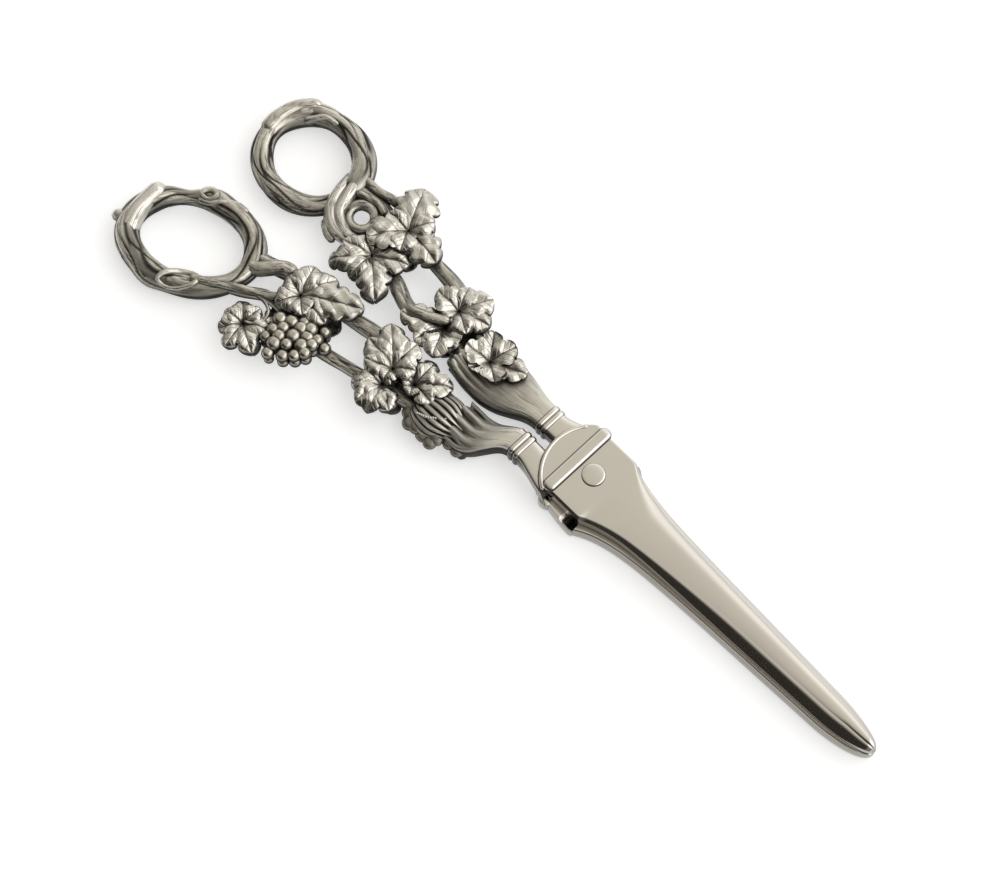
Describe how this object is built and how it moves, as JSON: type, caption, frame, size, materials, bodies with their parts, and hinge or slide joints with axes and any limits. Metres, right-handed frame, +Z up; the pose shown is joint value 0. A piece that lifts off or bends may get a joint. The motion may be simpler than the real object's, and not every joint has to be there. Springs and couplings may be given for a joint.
{
  "type": "grape shears",
  "caption": "Silver grape shears with bevelled blades on a riveted lap joint and handles cast as a fruiting vine that ends in two finger bows.",
  "frame": {"origin": "on the pivot's axis, in the plane of the lower blade's underside, where the shears rest", "axes": "+X from the pivot to the blade tips, +Z up from the resting plane, +Y towards the upper half's arm"},
  "size_m": [0.1794, 0.0536, 0.0085],
  "materials": {
    "polished_silver": "polished sterling silver with fine wear",
    "chased_silver": "cast and chased sterling silver, darkened in the recesses"
  },
  "bodies": {
    "lower_half": {"lower_blade": "polished_silver", "pivot_rivet": "polished_silver", "left_calyx": "chased_silver", "left_bow": "chased_silver", "left_inner_branch": "chased_silver", "left_outer_branch": "chased_silver", "left_berry_row": "chased_silver", "left_folded_leaf": "chased_silver", "left_grape_bunch": "chased_silver", "left_twig": "chased_silver", "left_large_leaf": "chased_silver", "left_mid_leaf": "chased_silver", "left_side_leaf": "chased_silver", "left_fan_leaf": "chased_silver", "left_tendril": "chased_silver", "left_small_leaf": "chased_silver", "left_back_leaf": "chased_silver", "left_back_low_leaf": "chased_silver"},
    "upper_half": {"upper_blade": "polished_silver", "right_calyx": "chased_silver", "right_bow": "chased_silver", "right_outer_branch": "chased_silver", "right_inner_branch": "chased_silver", "right_cross_vine": "chased_silver", "right_bud": "chased_silver", "right_top_leaf": "chased_silver", "right_mid_leaf": "chased_silver", "right_curled_leaf": "chased_silver", "right_low_leaf": "chased_silver", "right_under_leaf": "chased_silver", "right_back_leaf": "chased_silver", "right_back_low_leaf": "chased_silver"}
  },
  "joints": [
    {"name": "shears_pivot", "type": "hinge", "parent": "lower_half", "child": "upper_half", "pos_m": [0, 0, 0.0033], "axis": [0, 0, -1], "range_deg": [0, 60]}
  ]
}
